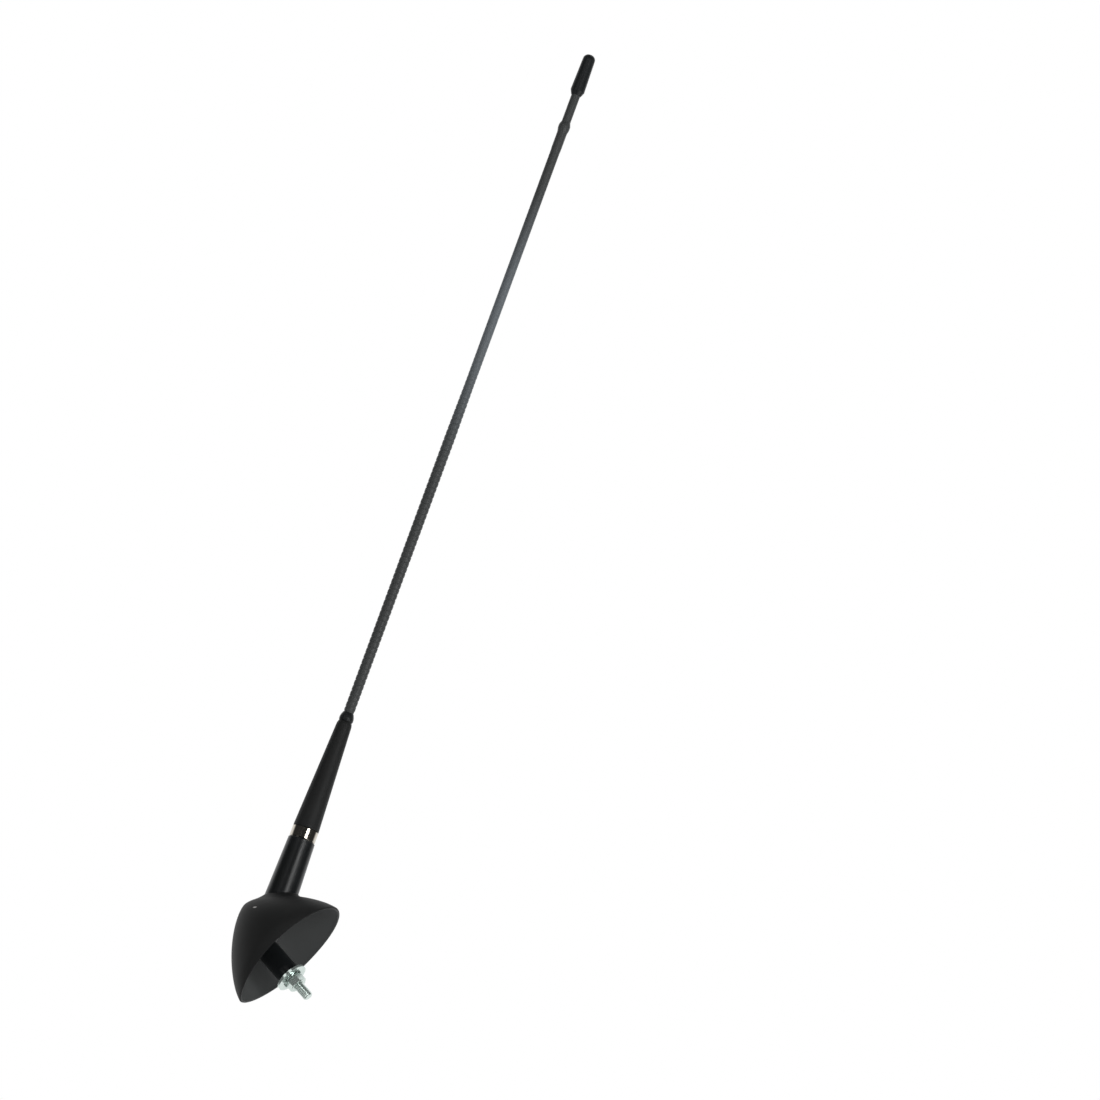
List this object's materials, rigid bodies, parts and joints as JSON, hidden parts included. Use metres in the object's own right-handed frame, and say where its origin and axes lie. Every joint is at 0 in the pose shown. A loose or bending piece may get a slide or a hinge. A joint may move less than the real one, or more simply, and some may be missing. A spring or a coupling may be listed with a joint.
{
  "type": "car roof antenna",
  "caption": "Car roof antenna: a leaning black mast with a ribbed whip and a tip cap, screwed into a foot with a rubber boot, a stud, washers and a nut.",
  "frame": {"origin": "on the roof stud's axis, at the end face of the pillar that stands on the roof", "axes": "+Z along the roof's normal, +X the way the mast leans, the XZ plane halves the part"},
  "size_m": [0.4258, 0.051, 0.2644],
  "materials": {
    "gloss_black": "gloss moulding",
    "boot_rubber": "matte, slightly dusty",
    "mast_rubber": "satin overmoulding",
    "whip_sleeve": "satin shrunk sleeve",
    "cap_plastic": "satin moulding",
    "bright_chrome": "polished",
    "zinc": "bright zinc",
    "brass": "turned",
    "glass_fibre": "pulled rod",
    "copper_wire": "enamelled wire"
  },
  "bodies": {
    "foot": {"foot_body": "gloss_black", "neck_insert": "brass", "link_rod": "brass", "roof_stud": "zinc", "cover_boot": "boot_rubber"},
    "ring": {"mast_ring": "bright_chrome"},
    "mast": {"mast_stud": "brass", "mast_ferrule": "brass", "mast_base": "mast_rubber", "whip_collar": "cap_plastic", "core_rod": "glass_fibre", "winding": "copper_wire", "end_ring": "brass", "whip_sheath": "whip_sleeve", "tip_cap": "cap_plastic"},
    "washers": {"flat_washer": "zinc", "toothed_washer": "zinc"},
    "nut": {"hex_nut": "zinc"}
  },
  "joints": [
    {"name": "mast_travel", "type": "slide", "parent": "foot", "child": "ring", "axis": [0.8686, 0, 0.4955], "range_m": [0, 0.0096]},
    {"name": "mast_turn", "type": "hinge", "parent": "ring", "child": "mast", "pos_m": [0, 0, 0.0213], "axis": [0.8686, 0, 0.4955], "range_deg": [0, 4320]},
    {"name": "nut_travel", "type": "slide", "parent": "foot", "child": "washers", "axis": [0, 0, -1], "range_m": [0, 0.0072]},
    {"name": "nut_turn", "type": "hinge", "parent": "washers", "child": "nut", "pos_m": [0, 0, 0], "axis": [0, 0, -1], "range_deg": [0, 3240]}
  ],
  "couplings": [
    {"joint": "mast_turn", "follows": "mast_travel", "rad_per_m": 7854},
    {"joint": "nut_turn", "follows": "nut_travel", "rad_per_m": 7854}
  ]
}
